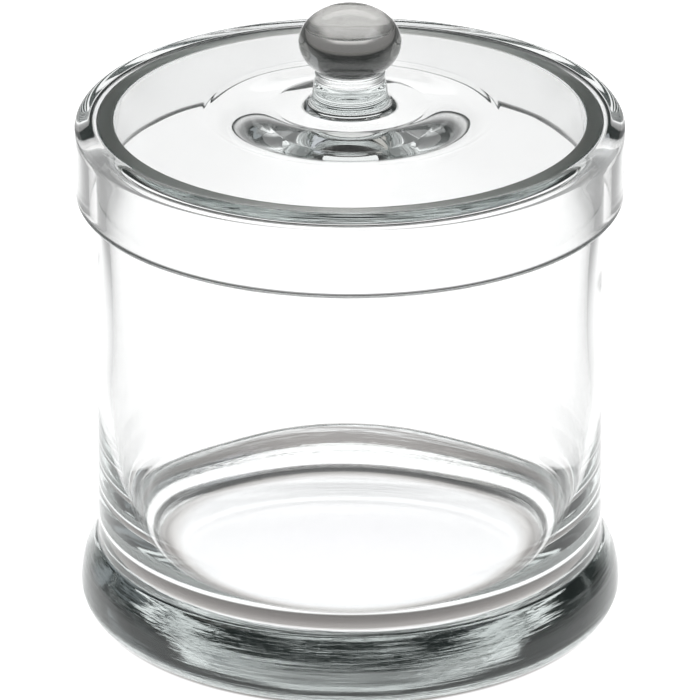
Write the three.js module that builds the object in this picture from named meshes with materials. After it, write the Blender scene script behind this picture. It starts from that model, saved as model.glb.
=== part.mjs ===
// Lidded glass canister, modelled in millimetres with +Z up.
//
// Everything is a solid of revolution about the Z axis.  The jar stands on z = 0.  The jar is a
// cylinder with a thick rounded bottom, set into a heavy flared foot.  The lid is a cap whose
// plate rests on the rim and whose skirt hangs outside it, with a ball knob on a short neck.
//
// Pieces that are fused hot in glass meet here on flat faces, so each stays a solid of its own.

import * as THREE from 'three';

// Turned segments.  Every piece uses the same count, so touching faces share their corners.
const SEGMENTS = 64;

// Foot
const FOOT_RADIUS = 64.3;
const FOOT_EDGE = 4.8; // radius of the rounded lower edge
const FOOT_TOP = 16.2;
const FOOT_SHOULDER_RISE = 11.6; // height of the rounded shoulder above the lower edge
const FOOT_SHOULDER_IN = 4.1; // how far that shoulder draws in
const STANDING_RING_INNER = 49;
const DISH_HEIGHT = 1.5; // hollow under the foot, inside the standing ring
const SEAT_RADIUS = 50.3; // recess in the foot that takes the jar's bottom
const SEAT_HEIGHT = 8;

// Jar
const PLUG_RADIUS = 50;
const PLUG_CHAMFER = 2;
const LEDGE_HEIGHT = 16.5;
const JAR_RADIUS_LOW = 60.0;
const JAR_RADIUS_HIGH = 59.1;
const RIM_HEIGHT = 119.7;
const RIM_INNER_RADIUS = 54.9;
const RIM_EDGE = 0.7; // fire-polished rounding of the rim's two edges
const BORE_RADIUS_HIGH = 55.9;
const INSIDE_FLOOR = 12.5;
// The wall thickens into the bottom: radius, and height above the inside floor.
const INSIDE_CORNER = [
  [56.3, 34],
  [56.1, 28],
  [55.5, 20],
  [54.6, 14],
  [53.2, 9],
  [51.6, 5.8],
  [49.6, 3.3],
  [47.2, 1.4],
  [44.6, 0.4],
  [42, 0],
];

// Lid
const LID_RADIUS = 64.1;
const LID_TOP = 123.3;
const LID_SHOULDER = 3.4;
const SKIRT_INNER_RADIUS = 60.9;
const SKIRT_BOTTOM = 102.9;
const SKIRT_EDGE = 1.5;
const MOUND_OUTER_RADIUS = 33;
const MOUND_INNER_RADIUS = 17;
const MOUND_TOP = 125.3;

// Knob
const NECK_FLARE_RADIUS = 11.2;
const NECK_TOP = 134.2;
const NECK_TOP_RADIUS = 7.9;
const BALL_CENTRE = 140.7;
const BALL_RADIUS = 11.93;
const BALL_HALF_HEIGHT = 8.66;

// Points of an arc in the (radius, height) plane.  Angles are in degrees from the +radius
// direction, turning towards +Z.
function arc(centreR, centreZ, radiusR, radiusZ, fromDeg, toDeg, steps) {
  const points = [];
  for (let i = 0; i <= steps; i += 1) {
    const angle = THREE.MathUtils.degToRad(fromDeg + ((toDeg - fromDeg) * i) / steps);
    points.push([centreR + radiusR * Math.cos(angle), centreZ + radiusZ * Math.sin(angle)]);
  }
  return points;
}

// A smooth step from 0 to 1, level at both ends.
function smoothStep(t) {
  return t * t * (3 - 2 * t);
}

// One material per piece.
function glass(colour, roughness) {
  return new THREE.MeshStandardMaterial({ color: colour, roughness, metalness: 0 });
}

// Turns a closed (radius, height) outline about Z.  The outline runs up the outside, so that
// faces point out of the solid.
function turned(name, outline, material) {
  const points = outline.map(([r, z]) => new THREE.Vector2(Math.max(r, 0), z));
  const geometry = new THREE.LatheGeometry(points, SEGMENTS);
  geometry.rotateX(Math.PI / 2);
  const mesh = new THREE.Mesh(geometry, material);
  mesh.name = name;
  return mesh;
}

// The applied foot: a dished underside, a flat standing ring, a rounded edge, a full shoulder
// that draws in to the jar, and the recess that takes the jar's bottom.
function makeFoot() {
  const dish = [];
  const dishSteps = 4;
  for (let i = 0; i < dishSteps; i += 1) {
    const t = i / dishSteps;
    dish.push([STANDING_RING_INNER * t, DISH_HEIGHT * (1 - t * t)]);
  }
  const edgeCentre = FOOT_RADIUS - FOOT_EDGE;
  const shoulderCentre = FOOT_RADIUS - FOOT_SHOULDER_IN;
  const outline = [
    ...dish,
    [STANDING_RING_INNER, 0],
    ...arc(edgeCentre, FOOT_EDGE, FOOT_EDGE, FOOT_EDGE, -90, 0, 5),
    ...arc(shoulderCentre, FOOT_EDGE, FOOT_SHOULDER_IN, FOOT_SHOULDER_RISE, 15, 75, 5),
    [JAR_RADIUS_LOW, FOOT_TOP],
    [SEAT_RADIUS, FOOT_TOP],
    [SEAT_RADIUS, SEAT_HEIGHT],
    [0, SEAT_HEIGHT],
  ];
  return turned('jar_foot', outline, glass(0xdde8e4, 0.06));
}

// The jar: a plug that stands in the foot, the outer wall, a flat rim with polished edges, a
// bore that opens slightly below the rim, and a long rounded inside corner down to a flat floor.
function makeJar() {
  const rimCentre = RIM_HEIGHT - RIM_EDGE;
  const outline = [
    [0, SEAT_HEIGHT],
    [PLUG_RADIUS - PLUG_CHAMFER, SEAT_HEIGHT],
    [PLUG_RADIUS, SEAT_HEIGHT + PLUG_CHAMFER],
    [PLUG_RADIUS, LEDGE_HEIGHT],
    [JAR_RADIUS_LOW, LEDGE_HEIGHT],
    [JAR_RADIUS_HIGH + 0.1, 88],
    ...arc(JAR_RADIUS_HIGH - RIM_EDGE, rimCentre, RIM_EDGE, RIM_EDGE, 0, 90, 3),
    ...arc(RIM_INNER_RADIUS + RIM_EDGE, rimCentre, RIM_EDGE, RIM_EDGE, 90, 180, 3),
    [RIM_INNER_RADIUS + 0.15, 111],
    [BORE_RADIUS_HIGH - 0.25, 102],
    [BORE_RADIUS_HIGH, 94],
    ...INSIDE_CORNER.map(([r, up]) => [r, INSIDE_FLOOR + up]),
    [0, INSIDE_FLOOR],
  ];
  return turned('jar_body', outline, glass(0xe6efec, 0.05));
}

// The lid: a flat underside that rests on the rim, a skirt outside it, a rounded shoulder, and
// a low mound in the middle of the top that carries the knob.
function makeLid() {
  const mound = [];
  const moundSteps = 6;
  for (let i = 0; i <= moundSteps; i += 1) {
    const t = i / moundSteps;
    const radius = MOUND_OUTER_RADIUS + (MOUND_INNER_RADIUS - MOUND_OUTER_RADIUS) * t;
    mound.push([radius, LID_TOP + (MOUND_TOP - LID_TOP) * smoothStep(t)]);
  }
  const lowCentreZ = SKIRT_BOTTOM + SKIRT_EDGE;
  const shoulderCentreR = LID_RADIUS - LID_SHOULDER;
  const shoulderCentreZ = LID_TOP - LID_SHOULDER;
  const innerCentreR = SKIRT_INNER_RADIUS - SKIRT_EDGE;
  const outline = [
    [0, RIM_HEIGHT],
    ...arc(innerCentreR, RIM_HEIGHT - SKIRT_EDGE, SKIRT_EDGE, SKIRT_EDGE, 90, 0, 3),
    ...arc(SKIRT_INNER_RADIUS + SKIRT_EDGE, lowCentreZ, SKIRT_EDGE, SKIRT_EDGE, 180, 270, 3),
    ...arc(LID_RADIUS - SKIRT_EDGE, lowCentreZ, SKIRT_EDGE, SKIRT_EDGE, 270, 360, 3),
    ...arc(shoulderCentreR, shoulderCentreZ, LID_SHOULDER, LID_SHOULDER, 0, 90, 5),
    ...mound,
    [0, MOUND_TOP],
  ];
  return turned('lid_cap', outline, glass(0xe8f0ee, 0.05));
}

// The knob's neck: a short waisted stem that flares on to the lid's mound.
function makeNeck() {
  const outline = [
    [0, MOUND_TOP],
    [NECK_FLARE_RADIUS, MOUND_TOP],
    [NECK_FLARE_RADIUS - 0.1, MOUND_TOP + 0.2],
    [10.1, 125.9],
    [9.2, 126.9],
    [8.75, 128.4],
    [8.4, 130.8],
    [8.15, 132.4],
    [8.25, 133.4],
    [NECK_TOP_RADIUS, NECK_TOP],
    [0, NECK_TOP],
  ];
  return turned('knob_stem', outline, glass(0xdfe8e6, 0.05));
}

// The knob's ball: a slightly flattened sphere, cut flat where it joins the neck.
function makeBall() {
  const cut = THREE.MathUtils.radToDeg(Math.asin((NECK_TOP - BALL_CENTRE) / BALL_HALF_HEIGHT));
  const outline = [
    [0, NECK_TOP],
    ...arc(0, BALL_CENTRE, BALL_RADIUS, BALL_HALF_HEIGHT, cut, 90, 14),
  ];
  return turned('knob_ball', outline, glass(0xd8e2e0, 0.04));
}

const canister = new THREE.Group();
canister.name = 'lidded_glass_canister';
canister.add(makeJar(), makeFoot(), makeLid(), makeNeck(), makeBall());

export default canister;
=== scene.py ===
"""A lidded glass canister: a jar on a heavy foot, and a skirted lid with a ball knob.

Both glass pieces are profiles turned about Z, with small fixed waves in their surfaces.
Lengths in the profiles are millimetres and are turned into metres when a mesh is made.
"""
import math

import bpy
import numpy as np
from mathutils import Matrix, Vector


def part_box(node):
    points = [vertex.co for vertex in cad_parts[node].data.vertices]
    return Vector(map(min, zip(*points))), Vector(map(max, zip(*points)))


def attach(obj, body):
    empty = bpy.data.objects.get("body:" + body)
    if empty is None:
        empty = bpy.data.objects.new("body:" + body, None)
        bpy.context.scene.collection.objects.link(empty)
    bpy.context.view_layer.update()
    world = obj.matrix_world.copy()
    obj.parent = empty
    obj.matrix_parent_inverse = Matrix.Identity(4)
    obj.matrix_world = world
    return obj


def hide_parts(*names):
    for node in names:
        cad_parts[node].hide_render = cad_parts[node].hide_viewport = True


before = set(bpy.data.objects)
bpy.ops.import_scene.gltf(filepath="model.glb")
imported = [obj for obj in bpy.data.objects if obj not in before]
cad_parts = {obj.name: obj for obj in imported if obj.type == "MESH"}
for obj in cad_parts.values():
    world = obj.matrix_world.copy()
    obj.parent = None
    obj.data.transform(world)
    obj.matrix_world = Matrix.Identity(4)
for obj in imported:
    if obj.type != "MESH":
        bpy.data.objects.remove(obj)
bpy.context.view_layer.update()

MM = 0.001


# ---------------------------------------------------------------- profiles

def box_mm(node):
    """Outer radius, lowest and highest point of a CAD node, in millimetres."""
    low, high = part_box(node)
    return high[0] / MM, low[2] / MM, high[2] / MM


def arc(centre, radii, start, stop, count):
    """Points centre + radii * (cos a, sin a) for angles a from start to stop in degrees."""
    a = np.radians(np.linspace(start, stop, count))
    return np.stack([centre[0] + radii[0] * np.cos(a), centre[1] + radii[1] * np.sin(a)], 1)


def straight(start, stop, count):
    """Evenly spaced points from start to stop, without either end."""
    t = np.linspace(0, 1, count + 2)[1:-1, None]
    return np.array(start) * (1 - t) + np.array(stop) * t


def smooth(points, count):
    """A natural cubic spline through the points, with the chord length as its parameter."""
    p = np.array(points, float)
    chord = np.r_[0, np.cumsum(np.linalg.norm(np.diff(p, axis=0), axis=1))]
    h = np.diff(chord)
    n = len(p)
    system = np.eye(n)
    right = np.zeros((n, 2))
    for i in range(1, n - 1):
        system[i, i - 1:i + 2] = h[i - 1], 2 * (h[i - 1] + h[i]), h[i]
        right[i] = 6 * ((p[i + 1] - p[i]) / h[i] - (p[i] - p[i - 1]) / h[i - 1])
    second = np.linalg.solve(system, right)
    t = np.linspace(0, chord[-1], count)
    k = np.clip(np.searchsorted(chord, t, side="right") - 1, 0, n - 2)
    a = ((chord[k + 1] - t) / h[k])[:, None]
    b = 1 - a
    hh = (h[k] ** 2)[:, None]
    bend = ((a ** 3 - a) * second[k] + (b ** 3 - b) * second[k + 1]) * hh / 6
    return a * p[k] + b * p[k + 1] + bend


def joined(*runs):
    """Runs of points end to end, without doubled points."""
    p = np.concatenate([np.atleast_2d(r) for r in runs])
    keep = np.r_[True, np.linalg.norm(np.diff(p, axis=0), axis=1) > 1e-4]
    return p[keep]


# ---------------------------------------------------------------- turned meshes

def waves(theta, along, terms):
    """The sum of size * cos(lobes * theta + turn * along / 10 + phase) over the terms."""
    total = np.zeros(np.broadcast(theta, along).shape)
    for size, lobes, turn, phase in terms:
        total += size * np.cos(lobes * theta + turn * along / 10 + phase)
    return total


def turned(name, profile, steps, unevenness):
    """A profile (radius, height) carried round Z.

    Each point moves along the profile's normal by unevenness(theta, along, radius, height),
    faded out near the axis so that the poles stay single points.
    """
    r, z = profile[:, 0], profile[:, 1]
    slope = np.gradient(profile, axis=0)
    length = np.linalg.norm(slope, axis=1)
    normal = np.stack([slope[:, 1], -slope[:, 0]], 1) / length[:, None]
    along = np.r_[0, np.cumsum(np.linalg.norm(np.diff(profile, axis=0), axis=1))]
    theta = np.arange(steps) * 2 * math.pi / steps
    inner = slice(1, -1)
    push = unevenness(theta[None, :], along[inner, None], r[inner, None], z[inner, None])
    push = push * np.clip(r[inner, None] / 12, 0, 1) ** 2
    rr = r[inner, None] + push * normal[inner, 0:1]
    zz = z[inner, None] + push * normal[inner, 1:2]
    ring = np.stack([rr * np.cos(theta), rr * np.sin(theta), zz], -1).reshape(-1, 3)
    points = np.concatenate([ring, [[0, 0, z[0]], [0, 0, z[-1]]]]) * MM
    rows = len(r) - 2
    i, j = np.meshgrid(np.arange(rows - 1), np.arange(steps), indexing="ij")
    k = (j + 1) % steps
    quads = np.stack([i * steps + j, i * steps + k, (i + 1) * steps + k, (i + 1) * steps + j], -1)
    j = np.arange(steps)
    k = (j + 1) % steps
    first, last = rows * steps, rows * steps + 1
    start = np.stack([np.full(steps, first), k, j], -1)
    end = np.stack([np.full(steps, last), (rows - 1) * steps + j, (rows - 1) * steps + k], -1)
    faces = quads.reshape(-1, 4).tolist() + start.tolist() + end.tolist()
    mesh = bpy.data.meshes.new(name)
    mesh.from_pydata(points.tolist(), [], faces)
    mesh.polygons.foreach_set("use_smooth", np.ones(len(mesh.polygons), bool))
    mesh.update()
    piece = bpy.data.objects.new(name, mesh)
    bpy.context.scene.collection.objects.link(piece)
    return piece


# ---------------------------------------------------------------- the jar

foot_radius, _, _ = box_mm("jar_foot")
jar_radius, _, rim_top = box_mm("jar_body")
lid_radius, skirt_low, mound_top = box_mm("lid_cap")
_, _, neck_top = box_mm("knob_stem")
ball_radius, _, ball_top = box_mm("knob_ball")

RIM_AIR = 0.12          # thin air film between the rim and the lid that rests on it
rim_seen = rim_top - RIM_AIR
RIM_RADIUS = 59.1
RIM_BORE = 54.9
BORE_HIGH = 55.9
FLOOR_INSIDE = 12.5
FLAT_INSIDE = 38.0      # radius of the level middle of the inside floor
RIM_EDGE = 0.7          # radius of the rim's two rounded edges
FOOT_EDGE = 4.8         # radius of the foot's rounded lower edge
STANDING_INNER = 49.0   # inner radius of the standing ring
DISH = 1.5              # height of the hollow inside that ring
SHOULDER_END = 16.2     # height where the foot's shoulder meets the jar
STEPS_ROUND = 320       # points round each turned piece

# The wall thickens into the bottom: radius, and height above the inside floor.
CORNER = [(56.3, 34.0), (56.1, 28.0), (55.5, 20.0), (54.6, 14.0), (53.2, 9.0),
          (51.6, 5.8), (49.6, 3.3), (47.2, 1.4), (44.6, 0.4), (42.0, 0.0)]


def jar_profile():
    """Up the dished underside, round the foot, up the wall, over the rim, down to the floor."""
    edge = foot_radius - FOOT_EDGE
    dish_t = np.linspace(0, 1, 26)[:-1]
    dish = np.stack([STANDING_INNER * dish_t, DISH * (1 - dish_t ** 2)], 1)
    meeting = (jar_radius + 0.55, SHOULDER_END)
    wall_foot = (jar_radius, SHOULDER_END + 1.4)
    shoulder = smooth([(foot_radius, FOOT_EDGE), (foot_radius - 0.35, 8.4),
                       (foot_radius - 1.2, 11.6), (foot_radius - 2.6, 14.4), meeting], 22)
    crease = smooth([meeting, (jar_radius + 0.12, SHOULDER_END + 0.5), wall_foot], 6)
    wall = smooth([wall_foot, (jar_radius - 0.35, 50), (RIM_RADIUS + 0.1, 88),
                   (RIM_RADIUS, rim_seen - RIM_EDGE)], 60)
    rim = joined(arc((RIM_RADIUS - RIM_EDGE, rim_seen - RIM_EDGE), (RIM_EDGE, RIM_EDGE), 0, 90, 6),
                 straight((RIM_RADIUS - RIM_EDGE, rim_seen), (RIM_BORE + RIM_EDGE, rim_seen), 4),
                 arc((RIM_BORE + RIM_EDGE, rim_seen - RIM_EDGE), (RIM_EDGE, RIM_EDGE), 90, 180, 6))
    bore = smooth([(RIM_BORE, rim_seen - RIM_EDGE), (RIM_BORE + 0.15, 111), (BORE_HIGH - 0.25, 102),
                   (BORE_HIGH, 94), (BORE_HIGH + 0.15, 66)] +
                  [(r, FLOOR_INSIDE + h) for r, h in CORNER] + [(FLAT_INSIDE, FLOOR_INSIDE)], 110)
    floor = np.stack([np.linspace(FLAT_INSIDE, 0, 20), np.full(20, FLOOR_INSIDE)], 1)
    return joined(dish, straight((STANDING_INNER, 0), (edge, 0), 4),
                  arc((edge, FOOT_EDGE), (FOOT_EDGE, FOOT_EDGE), -90, 0, 16),
                  shoulder, crease, wall, rim, bore, floor)


RINGS_AT = 17.0
RINGS_WIDE = 9.0


def jar_unevenness(theta, along, radius, height):
    """Slow lobes, faded out at the standing ring and the rim, and faint rings on the inside floor.

    The rings are a cosine of the radius, a little off centre, strongest about RINGS_AT out.
    """
    slow = waves(theta, along, [(0.05, 2, 0.3, 1.1), (0.04, 3, -0.5, 2.6), (0.02, 5, 0.8, 0.4)])
    keep = np.clip((height - 0.2) / 4, 0, 1)
    rim = np.clip((rim_seen - height) / 6, 0, 1)
    drift = 1.5 * np.cos(theta - 0.6)
    rings = 0.012 * np.cos(1.5 * (radius - drift)) * np.exp(-((radius - RINGS_AT) / RINGS_WIDE) ** 2)
    return slow * keep * rim + rings * (np.abs(height - FLOOR_INSIDE) < 0.5)


# ---------------------------------------------------------------- the lid

SKIRT_INNER = 60.9
SKIRT_EDGE = 1.5
SHOULDER = 3.4
lid_top = mound_top - 2.0
MOUND_OUTER = 33.0
MOUND_INNER = 17.0
BALL_HALF = 8.66


def lid_profile():
    """Out under the plate, down and up the skirt, over the shoulder and mound, up the knob."""
    under = np.stack([np.linspace(0, SKIRT_INNER - SKIRT_EDGE, 14)[:-1], np.full(13, rim_top)], 1)
    low = skirt_low + SKIRT_EDGE
    inner = arc((SKIRT_INNER - SKIRT_EDGE, rim_top - SKIRT_EDGE), (SKIRT_EDGE, SKIRT_EDGE), 90, 0, 8)
    down = straight((SKIRT_INNER, rim_top - SKIRT_EDGE), (SKIRT_INNER, low), 14)
    lip = joined(arc((SKIRT_INNER + SKIRT_EDGE, low), (SKIRT_EDGE, SKIRT_EDGE), 180, 270, 8),
                 arc((lid_radius - SKIRT_EDGE, low), (SKIRT_EDGE, SKIRT_EDGE), 270, 360, 8))
    up = straight((lid_radius, low), (lid_radius, lid_top - SHOULDER), 16)
    shoulder = arc((lid_radius - SHOULDER, lid_top - SHOULDER), (SHOULDER, SHOULDER), 0, 90, 14)
    plate = joined(straight((lid_radius - SHOULDER, lid_top), (MOUND_OUTER + 2.5, lid_top), 10),
                   straight((MOUND_OUTER + 2.5, lid_top), (MOUND_OUTER, lid_top), 12))
    t = np.linspace(0, 1, 62)[:, None]
    mound = np.hstack([MOUND_OUTER + (MOUND_INNER - MOUND_OUTER) * t,
                       lid_top + (mound_top - lid_top) * t * t * (3 - 2 * t)])
    neck = smooth([(12.6, mound_top), (11.0, mound_top + 0.12), (9.9, mound_top + 0.7),
                   (9.15, mound_top + 1.6), (8.75, mound_top + 3.0), (8.4, mound_top + 5.5),
                   (8.1, mound_top + 7.0), (8.2, mound_top + 8.1)], 34)
    centre = ball_top - BALL_HALF
    cut = math.degrees(math.asin((neck_top - centre) / BALL_HALF))
    ball = arc((0, centre), (ball_radius, BALL_HALF), cut, 90, 56)
    crease = smooth([(8.2, mound_top + 8.1), (8.0, neck_top - 0.15), tuple(ball[1])], 5)
    top = ball[2:]
    top[-1, 0] = 0
    return joined(under, inner, down, lip, up, shoulder, plate, mound, neck, crease, top)


# Two thin rings on the top of the plate, a groove and a ridge: radius and height.
TOOL_MARKS = [(MOUND_OUTER + 1.0, -0.025), (MOUND_INNER + 0.8, 0.03)]


def lid_unevenness(theta, along, radius, height):
    """Slow lobes and the tool marks.

    The lobes are full on top of the plate, a third as high on the skirt and underneath, and
    fade with the radius to almost none on the knob.  The marks are bell curves of the radius.
    """
    slow = waves(theta, along, [(0.05, 2, 0.4, 0.6), (0.04, 3, -0.7, 3.3), (0.02, 6, 1.1, 1.9)])
    skirt = np.clip((radius - 8) / 20, 0, 1)
    clear = np.where(height < rim_top + 0.3, 0.3, 1.0)
    top = (height > lid_top - 0.1) & (height < mound_top + 0.1)
    drift = 0.25 * np.cos(theta - 0.7) + 0.12 * np.cos(3 * theta + 1.2)
    marks = sum(size * np.exp(-((radius - at - drift) / 0.4) ** 2) for at, size in TOOL_MARKS)
    return slow * skirt * clear + marks * top


jar_glass = turned("jar_glass", jar_profile(), STEPS_ROUND, jar_unevenness)
lid_glass = turned("lid_glass", lid_profile(), STEPS_ROUND, lid_unevenness)

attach(jar_glass, "jar")
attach(lid_glass, "lid")
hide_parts("jar_body", "jar_foot")
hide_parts("lid_cap", "knob_stem", "knob_ball")


# ---------------------------------------------------------------- glass

def group(name, inputs, outputs):
    """An empty node group with float inputs {name: default} and outputs {name: socket type}."""
    tree = bpy.data.node_groups.new(name, "ShaderNodeTree")
    for label, value in inputs.items():
        socket = tree.interface.new_socket(label, in_out="INPUT", socket_type="NodeSocketFloat")
        socket.default_value = value
    for label, kind in outputs.items():
        tree.interface.new_socket(label, in_out="OUTPUT", socket_type=kind)
    return tree, tree.nodes.new("NodeGroupInput"), tree.nodes.new("NodeGroupOutput")


def scalar(nodes, links, operation, *values):
    """A Math node on numbers or sockets."""
    node = nodes.new("ShaderNodeMath")
    node.operation = operation
    for socket, value in zip(node.inputs, values):
        if isinstance(value, (int, float)):
            socket.default_value = value
        else:
            links.new(value, socket)
    return node.outputs[0]


def from_axis(nodes, links):
    """Sockets for x, y, z and the distance from the Z axis, in metres."""
    coord = nodes.new("ShaderNodeTexCoord")
    split = nodes.new("ShaderNodeSeparateXYZ")
    links.new(coord.outputs["Object"], split.inputs[0])
    x, y, z = split.outputs
    squares = scalar(nodes, links, "ADD", scalar(nodes, links, "MULTIPLY", x, x),
                     scalar(nodes, links, "MULTIPLY", y, y))
    return x, y, z, scalar(nodes, links, "SQRT", squares)


def turning_lines():
    """Noise drawn out round the axis: its place is (cos, sin) * Around and (z + r) * Across."""
    tree, given, out = group("turning_lines", {"Around": 3.0, "Across": 900.0, "Detail": 3.0},
                             {"Height": "NodeSocketFloat"})
    nodes, links = tree.nodes, tree.links
    x, y, z, r = from_axis(nodes, links)
    safe = scalar(nodes, links, "MAXIMUM", r, 0.001)
    cos = scalar(nodes, links, "MULTIPLY", scalar(nodes, links, "DIVIDE", x, safe),
                 given.outputs["Around"])
    sin = scalar(nodes, links, "MULTIPLY", scalar(nodes, links, "DIVIDE", y, safe),
                 given.outputs["Around"])
    across = scalar(nodes, links, "MULTIPLY", scalar(nodes, links, "ADD", z, r),
                    given.outputs["Across"])
    place = nodes.new("ShaderNodeCombineXYZ")
    for socket, value in zip(place.inputs, (cos, sin, across)):
        links.new(value, socket)
    noise = nodes.new("ShaderNodeTexNoise")
    noise.inputs["Scale"].default_value = 1.0
    links.new(place.outputs[0], noise.inputs["Vector"])
    links.new(given.outputs["Detail"], noise.inputs["Detail"])
    links.new(noise.outputs["Fac"], out.inputs["Height"])
    return tree


def slow_waves():
    """Soft swells, longer up the wall than round it."""
    tree, given, out = group("slow_waves", {"Scale": 40.0, "Up": 0.4}, {"Height": "NodeSocketFloat"})
    nodes, links = tree.nodes, tree.links
    coord = nodes.new("ShaderNodeTexCoord")
    split = nodes.new("ShaderNodeSeparateXYZ")
    links.new(coord.outputs["Object"], split.inputs[0])
    place = nodes.new("ShaderNodeCombineXYZ")
    links.new(split.outputs["X"], place.inputs["X"])
    links.new(split.outputs["Y"], place.inputs["Y"])
    links.new(scalar(nodes, links, "MULTIPLY", split.outputs["Z"], given.outputs["Up"]),
              place.inputs["Z"])
    noise = nodes.new("ShaderNodeTexNoise")
    noise.inputs["Detail"].default_value = 1.0
    links.new(place.outputs[0], noise.inputs["Vector"])
    links.new(given.outputs["Scale"], noise.inputs["Scale"])
    links.new(noise.outputs["Fac"], out.inputs["Height"])
    return tree


def handling_haze():
    """A faint uneven haze: Clean roughness, plus Haze where a broad noise is high."""
    tree, given, out = group("handling_haze", {"Clean": 0.0, "Haze": 0.02, "Scale": 60.0},
                             {"Roughness": "NodeSocketFloat"})
    nodes, links = tree.nodes, tree.links
    coord = nodes.new("ShaderNodeTexCoord")
    noise = nodes.new("ShaderNodeTexNoise")
    noise.inputs["Detail"].default_value = 4.0
    links.new(coord.outputs["Object"], noise.inputs["Vector"])
    links.new(given.outputs["Scale"], noise.inputs["Scale"])
    high = nodes.new("ShaderNodeMapRange")
    high.inputs["From Min"].default_value = 0.55
    high.inputs["From Max"].default_value = 0.75
    links.new(noise.outputs["Fac"], high.inputs["Value"])
    links.new(scalar(nodes, links, "MULTIPLY_ADD", high.outputs["Result"], given.outputs["Haze"],
                     given.outputs["Clean"]), out.inputs["Roughness"])
    return tree


def ring_mask():
    """One on a flat ring between the radii Inner and Outer and above the height Above."""
    tree, given, out = group("ring_mask", {"Inner": 0.0546, "Outer": 0.0594, "Above": 0.119},
                             {"Mask": "NodeSocketFloat"})
    nodes, links = tree.nodes, tree.links
    _, _, z, r = from_axis(nodes, links)
    mask = scalar(nodes, links, "MULTIPLY",
                  scalar(nodes, links, "GREATER_THAN", r, given.outputs["Inner"]),
                  scalar(nodes, links, "LESS_THAN", r, given.outputs["Outer"]))
    mask = scalar(nodes, links, "MULTIPLY", mask,
                  scalar(nodes, links, "GREATER_THAN", z, given.outputs["Above"]))
    links.new(mask, out.inputs["Mask"])
    return tree


def ground_grain():
    """Fine pits of a ground surface."""
    tree, given, out = group("ground_grain", {"Scale": 3500.0}, {"Height": "NodeSocketFloat"})
    nodes, links = tree.nodes, tree.links
    coord = nodes.new("ShaderNodeTexCoord")
    noise = nodes.new("ShaderNodeTexNoise")
    noise.inputs["Detail"].default_value = 2.0
    links.new(coord.outputs["Object"], noise.inputs["Vector"])
    links.new(given.outputs["Scale"], noise.inputs["Scale"])
    links.new(noise.outputs["Fac"], out.inputs["Height"])
    return tree


GROUPS = {"turning_lines": turning_lines(), "slow_waves": slow_waves(),
          "handling_haze": handling_haze(), "ring_mask": ring_mask(),
          "ground_grain": ground_grain()}


def placed(nodes, name, **values):
    """A group node with its inputs set."""
    node = nodes.new("ShaderNodeGroup")
    node.node_tree = GROUPS[name]
    for label, value in values.items():
        node.inputs[label].default_value = value
    return node


def bump(nodes, links, height, strength, distance, under=None):
    """A Bump node, on top of another one if given."""
    node = nodes.new("ShaderNodeBump")
    node.inputs["Strength"].default_value = strength
    node.inputs["Distance"].default_value = distance
    links.new(height, node.inputs["Height"])
    if under is not None:
        links.new(under, node.inputs["Normal"])
    return node.outputs["Normal"]


def mixed(nodes, links, mask, other):
    """White where the mask is zero and the other colour, a value or a socket, where it is one."""
    node = nodes.new("ShaderNodeMix")
    node.data_type = "RGBA"
    node.inputs["A"].default_value = (1, 1, 1, 1)
    if isinstance(other, tuple):
        node.inputs["B"].default_value = other
    else:
        links.new(other, node.inputs["B"])
    links.new(mask, node.inputs["Factor"])
    return node.outputs["Result"]


def ramp(nodes, links, value, stops):
    """A Color Ramp with stops of (place, (r, g, b))."""
    node = nodes.new("ShaderNodeValToRGB")
    links.new(value, node.inputs["Fac"])
    elements = node.color_ramp.elements
    while len(elements) < len(stops):
        elements.new(0.5)
    for element, (at, colour) in zip(elements, stops):
        element.position = at
        element.color = (*colour, 1)
    return node.outputs["Color"]


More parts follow.
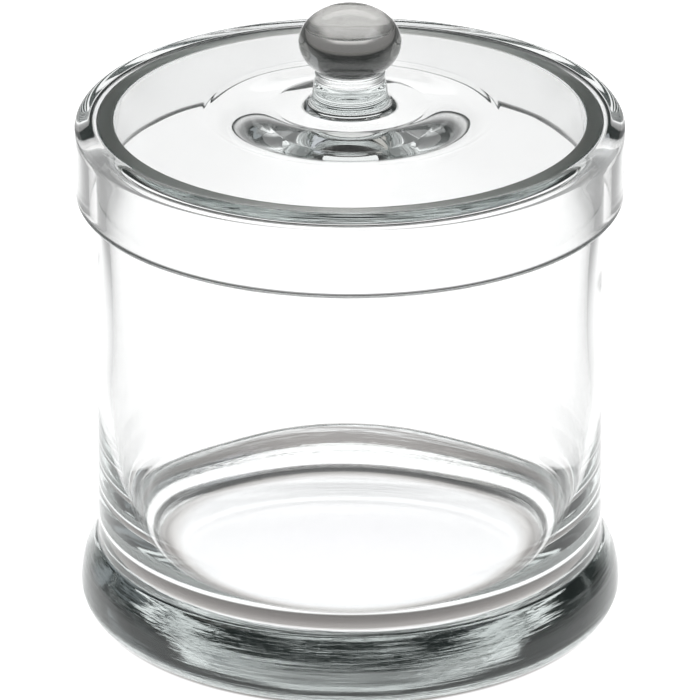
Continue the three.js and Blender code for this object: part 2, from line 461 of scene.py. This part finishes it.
def make_glass(name, absorb, density, swell, foot_lines=0.0, ground=None, darker_above=None):
    """Clear glass with soft swells and a faint haze.

    foot_lines is the height of the turning lines on a foot, and ground is the (inner, outer,
    above) of a ring that is ground grey instead of polished.  Above the height smoky, the
    surface is tinted a little darker.
    """
    mat = bpy.data.materials.new(name)
    mat.use_nodes = True
    nodes, links = mat.node_tree.nodes, mat.node_tree.links
    shader = nodes["Principled BSDF"]
    shader.inputs["IOR"].default_value = 1.52
    shader.inputs["Transmission Weight"].default_value = 1.0
    haze = placed(nodes, "handling_haze", Clean=0.0, Haze=0.012, Scale=55.0)
    roughness = haze.outputs["Roughness"]
    swells = placed(nodes, "slow_waves", Scale=45.0, Up=0.35)
    normal = bump(nodes, links, swells.outputs["Height"], 1.0, swell)
    shader.inputs["Base Color"].default_value = (1, 1, 1, 1)
    if foot_lines:
        drawn = placed(nodes, "turning_lines", Around=FOOT_LINE_AROUND, Across=FOOT_LINE_ACROSS,
                       Detail=4.0)
        edge = placed(nodes, "ring_mask", Inner=0.0575, Outer=0.07, Above=-1.0)
        amount = scalar(nodes, links, "MULTIPLY_ADD", edge.outputs["Mask"], 1 - INNER_LINES,
                        INNER_LINES)
        _, _, above_floor, _ = from_axis(nodes, links)
        level = ramp(nodes, links, scalar(nodes, links, "DIVIDE", above_floor, LEVELS_TOP),
                     FOOT_LINE_LEVELS)
        amount = scalar(nodes, links, "MULTIPLY", amount, level)
        height = scalar(nodes, links, "MULTIPLY", drawn.outputs["Height"], amount)
        normal = bump(nodes, links, height, 1.0, foot_lines, normal)
    if ground:
        ring = placed(nodes, "ring_mask", Inner=ground[0], Outer=ground[1], Above=ground[2])
        mask = ring.outputs["Mask"]
        grain = placed(nodes, "ground_grain", Scale=GROUND_SCALE)
        height = scalar(nodes, links, "MULTIPLY", grain.outputs["Height"], mask)
        normal = bump(nodes, links, height, 1.0, GROUND_DEPTH, normal)
        roughness = scalar(nodes, links, "MULTIPLY_ADD", mask, GROUND_ROUGHNESS, roughness)
        links.new(mixed(nodes, links, mask, GROUND_TINT), shader.inputs["Base Color"])
    # Above this height the surface takes BALL_TINT, a little darker than the rest.
    if darker_above:
        ball = placed(nodes, "ring_mask", Inner=-1.0, Outer=1.0, Above=darker_above)
        links.new(mixed(nodes, links, ball.outputs["Mask"], BALL_TINT), shader.inputs["Base Color"])
    links.new(roughness, shader.inputs["Roughness"])
    links.new(normal, shader.inputs["Normal"])
    volume = nodes.new("ShaderNodeVolumeAbsorption")
    volume.inputs["Color"].default_value = (*absorb, 1)
    volume.inputs["Density"].default_value = density
    links.new(volume.outputs[0], nodes["Material Output"].inputs["Volume"])
    return mat


FOOT_LINE_AROUND = 2.6
FOOT_LINE_ACROSS = 1500.0
INNER_LINES = 0.08
LEVELS_TOP = 0.02       # metres
# How strong the foot's lines are, by height over LEVELS_TOP.
FOOT_LINE_LEVELS = [(0.0, (1, 1, 1)), (0.3, (1, 1, 1)), (0.38, (0.3, 0.3, 0.3)),
                    (0.5, (0.3, 0.3, 0.3)), (0.58, (1, 1, 1)), (0.84, (1, 1, 1)), (0.95, (0, 0, 0))]
GROUND_SCALE = 3500.0
GROUND_DEPTH = 0.00004
GROUND_ROUGHNESS = 0.35
GROUND_TINT = (0.42, 0.42, 0.4, 1)
# The knob's ball is tinted a little darker than the rest of the glass.
BALL_TINT = (0.62, 0.605, 0.59, 1)

jar_glass.data.materials.append(make_glass(
    "clear jar glass", (0.3, 0.4, 0.38), 6.0, 0.00004, foot_lines=0.00016,
    ground=(RIM_BORE * MM + 0.0003, RIM_RADIUS * MM - 0.0003, rim_seen * MM - 0.0004)))
lid_glass.data.materials.append(make_glass(
    "clear lid glass", (0.3, 0.4, 0.38), 6.0, 0.00003, darker_above=neck_top * MM))


# ---------------------------------------------------------------- floor, light and camera

FLOOR_SIZE = 80.0


def make_floor():
    """A pale neutral floor that glows softly, brighter round and behind the object in a painted pool
    of light.

    It gives light instead of taking it, so the shade beneath the foot is painted shade, part of its
    glow.
    """
    mesh = bpy.data.meshes.new("floor")
    h = FLOOR_SIZE / 2
    mesh.from_pydata([(-h, -h, 0), (h, -h, 0), (h, h, 0), (-h, h, 0)], [], [(0, 1, 2, 3)])
    floor = bpy.data.objects.new("floor", mesh)
    bpy.context.scene.collection.objects.link(floor)
    floor.location.z = -0.0002
    mat = bpy.data.materials.new("pale floor")
    mat.use_nodes = True
    mesh.materials.append(mat)
    nodes, links = mat.node_tree.nodes, mat.node_tree.links
    shader = nodes["Principled BSDF"]
    shader.inputs["Base Color"].default_value = (0.1, 0.1, 0.1, 1)
    shader.inputs["Roughness"].default_value = 0.9
    shader.inputs["Specular IOR Level"].default_value = 0.0
    x, y, _, reach = from_axis(nodes, links)
    # Painted pool of light: the floor glows brighter in a patch round and behind the object.
    spread = scalar(nodes, links, "MULTIPLY_ADD", y, POOL_SPREAD, 1.0)
    side = scalar(nodes, links, "DIVIDE", scalar(nodes, links, "ABSOLUTE", x), spread)
    behind = scalar(nodes, links, "ABSOLUTE", scalar(nodes, links, "SUBTRACT", y, POOL_CENTRE))
    pool = scalar(nodes, links, "MULTIPLY", faded(nodes, links, side, *POOL_SIDE),
                  faded(nodes, links, behind, *POOL_LENGTH))
    dim = scalar(nodes, links, "MULTIPLY_ADD", faded(nodes, links, reach, *FAR),
                 FLOOR_DIM - FLOOR_FAR, FLOOR_FAR)
    lit = scalar(nodes, links, "MULTIPLY", pool, FLOOR_BRIGHT)
    rest = scalar(nodes, links, "MULTIPLY", scalar(nodes, links, "SUBTRACT", 1.0, pool), dim)
    glow = scalar(nodes, links, "ADD", lit, rest)
    # Painted shade beneath the foot: a painted contact shadow darkens the glow's colour there.
    leaning = scalar(nodes, links, "SUBTRACT", y, SHADE_BACK)
    shade_reach = scalar(nodes, links, "SQRT", scalar(
        nodes, links, "ADD", scalar(nodes, links, "MULTIPLY", x, x),
        scalar(nodes, links, "MULTIPLY", leaning, leaning)))
    shade = ramp(nodes, links, scalar(nodes, links, "DIVIDE", shade_reach, UNDER_SCALE), PAINTED_SHADE_UNDER_FOOT)
    # The glow's colour: white, with the painted shade inside the foot's print.
    under = mixed(nodes, links, faded(nodes, links, reach, *FOOT_PRINT), shade)
    links.new(glow, shader.inputs["Emission Strength"])
    links.new(under, shader.inputs["Emission Color"])


def faded(nodes, links, value, near, far):
    """One below near, zero beyond far, smooth between."""
    node = nodes.new("ShaderNodeMapRange")
    node.interpolation_type = "SMOOTHSTEP"
    node.inputs["From Min"].default_value = far
    node.inputs["From Max"].default_value = near
    links.new(value, node.inputs["Value"])
    return node.outputs["Result"]


# The painted pool of light, the brighter patch of the floor.  Pairs are where it starts to fade and
# where it ends, in metres.
POOL_CENTRE = 0.17      # how far behind the object its middle lies
POOL_SPREAD = 0.66      # how fast it widens towards the back
POOL_SIDE = (0.082, 0.18)
POOL_LENGTH = (0.35, 0.8)
FLOOR_BRIGHT = 1.35
FLOOR_DIM = 0.42        # outside the patch, near the object
FLOOR_FAR = 0.36        # far out
FAR = (0.4, 1.2)
FOOT_PRINT = (0.06, 0.0625)   # where the shade beneath the foot ends
SHADE_BACK = 0.005      # the bright middle lies this far back, so the shade is wider in front
UNDER_SCALE = 0.1       # metres
# The painted shade beneath the foot, a painted contact shadow, by distance over UNDER_SCALE.
PAINTED_SHADE_UNDER_FOOT = [(0.0, (0.93, 0.92, 0.94)), (0.42, (0.9, 0.9, 0.91)), (0.465, (0.68, 0.66, 0.65)),
              (0.5, (0.33, 0.31, 0.3)), (0.58, (0.18, 0.165, 0.16)), (0.635, (0.12, 0.11, 0.105))]
# The studio's surroundings, by the sine of the height angle.
SKY = [(0.0, (0.33, 0.325, 0.315)), (0.035, (0.28, 0.28, 0.275)), (0.08, (0.028, 0.032, 0.031)),
       (0.5, (0.022, 0.027, 0.026)), (0.7, (0.03, 0.03, 0.03)), (1.0, (0.02, 0.02, 0.02))]


def make_world():
    """A dark studio with a paler band at the horizon."""
    world = bpy.data.worlds.new("studio")
    bpy.context.scene.world = world
    world.use_nodes = True
    nodes, links = world.node_tree.nodes, world.node_tree.links
    back = nodes["Background"]
    coord = nodes.new("ShaderNodeTexCoord")
    split = nodes.new("ShaderNodeSeparateXYZ")
    links.new(coord.outputs["Generated"], split.inputs[0])
    links.new(ramp(nodes, links, split.outputs["Z"], SKY), back.inputs["Color"])


LIGHT_AIM = 0.08        # height that the soft boxes face


def soft_box(name, azimuth, elevation, distance, size, strength, colour):
    """A rectangular area light that faces the object; azimuth 0 is behind it, 90 to its right."""
    data = bpy.data.lights.new(name, "AREA")
    data.shape = "RECTANGLE"
    data.size, data.size_y = size
    data.color = colour
    data.energy = strength * math.pi * size[0] * size[1]
    light = bpy.data.objects.new(name, data)
    bpy.context.scene.collection.objects.link(light)
    a, e = math.radians(azimuth), math.radians(elevation)
    way = np.array([math.sin(a) * math.cos(e), math.cos(a) * math.cos(e), math.sin(e)])
    light.location = way * distance + np.array([0, 0, LIGHT_AIM])
    light.rotation_euler = (math.pi / 2 - e, 0, math.pi - a)


make_floor()
make_world()
soft_box("overhead box behind", 0, 44, 1.6, (1.6, 0.46), 1.15, (1.0, 1.0, 1.0))
soft_box("soft box left", -100, 48, 1.6, (1.0, 0.7), 0.8, (1.0, 0.97, 0.93))
soft_box("soft box right", 100, 48, 1.6, (1.0, 0.7), 1.0, (0.9, 0.93, 1.0))
soft_box("soft box behind right", 42, 22, 1.5, (0.4, 0.26), 0.35, (0.9, 0.95, 1.0))

AIM = 0.0628            # height that the camera looks at
DISTANCE = 1.652
ELEVATION = math.radians(23.6)
camera_data = bpy.data.cameras.new("camera")
camera_data.lens = 360.2
camera_data.sensor_width = 36
camera_data.clip_start = 0.01
camera_data.clip_end = 100
camera = bpy.data.objects.new("camera", camera_data)
bpy.context.scene.collection.objects.link(camera)
camera.location = (0, -DISTANCE * math.cos(ELEVATION), AIM + DISTANCE * math.sin(ELEVATION))
camera.rotation_euler = (math.pi / 2 - ELEVATION, 0, 0)
bpy.context.scene.camera = camera

scene = bpy.context.scene
scene.view_settings.view_transform = "Standard"
scene.cycles.max_bounces = 64
scene.cycles.glossy_bounces = 64
scene.cycles.transmission_bounces = 64
scene.cycles.transparent_max_bounces = 32
scene.cycles.caustics_refractive = True
scene.cycles.caustics_reflective = True
